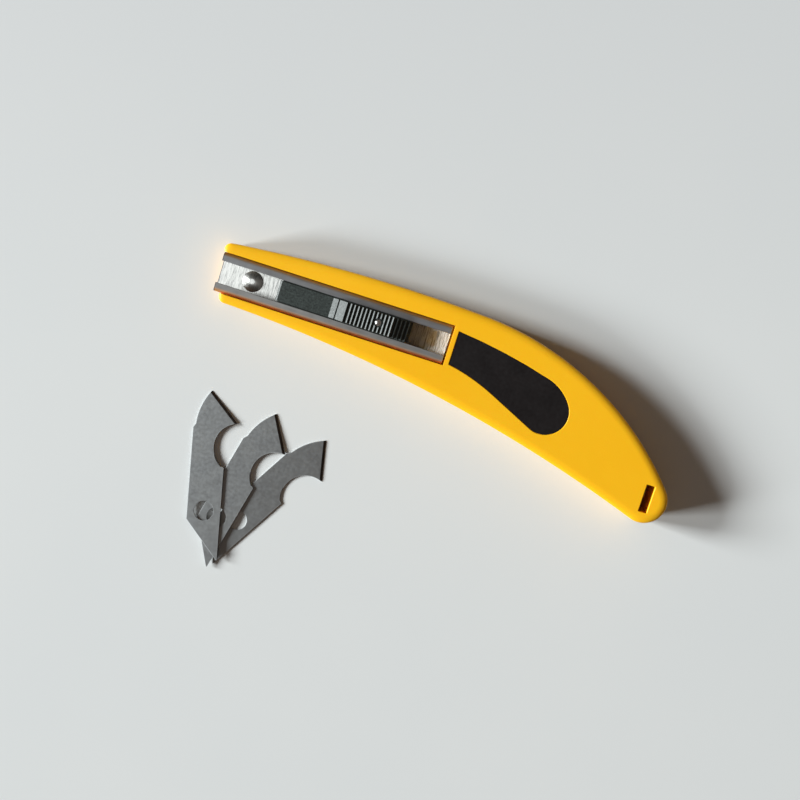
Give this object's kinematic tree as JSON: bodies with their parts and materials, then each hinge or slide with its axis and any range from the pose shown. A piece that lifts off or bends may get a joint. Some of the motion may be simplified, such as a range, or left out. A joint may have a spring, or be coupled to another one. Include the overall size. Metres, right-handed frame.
{
  "type": "utility knife",
  "caption": "Hook-blade utility knife: a curved two-part handle with a steel blade channel, a ribbed thumb slider and loose hook blades beside it.",
  "frame": {"origin": "under the blade boss, on the plane that the handle's back rests on", "axes": "+X along the blade channel towards the tail, +Y towards the humped spine, +Z out of the slider's face"},
  "size_m": [0.1709, 0.1174, 0.0159],
  "materials": {
    "handle_yellow": "satin gloss injection-moulded yellow plastic",
    "channel_steel": "folded sheet steel, bright brushed floor and satin grey lips",
    "screw_steel": "plated steel screws",
    "label_black": "bare black satin label",
    "slider_black": "fine-grained black plastic",
    "spring_steel": "spring steel strip",
    "rivet_steel": "bright domed rivet",
    "blade_steel": "grey satin blade steel with a dark ground edge"
  },
  "bodies": {
    "handle": {"upper_shell": "handle_yellow", "lower_shell": "handle_yellow", "blade_channel": "channel_steel", "channel_screw": "screw_steel", "case_screws": "screw_steel", "label": "label_black", "hook_blade_1": "blade_steel", "hook_blade_2": "blade_steel", "hook_blade_3": "blade_steel"},
    "slider": {"slider_plate": "slider_black", "thumb_grip": "slider_black", "slider_spring": "spring_steel", "slider_rivet": "rivet_steel"}
  },
  "joints": [
    {"name": "slider_slide", "type": "slide", "parent": "handle", "child": "slider", "axis": [1, 0, 0], "range_m": [-0.021, 0.013]}
  ]
}
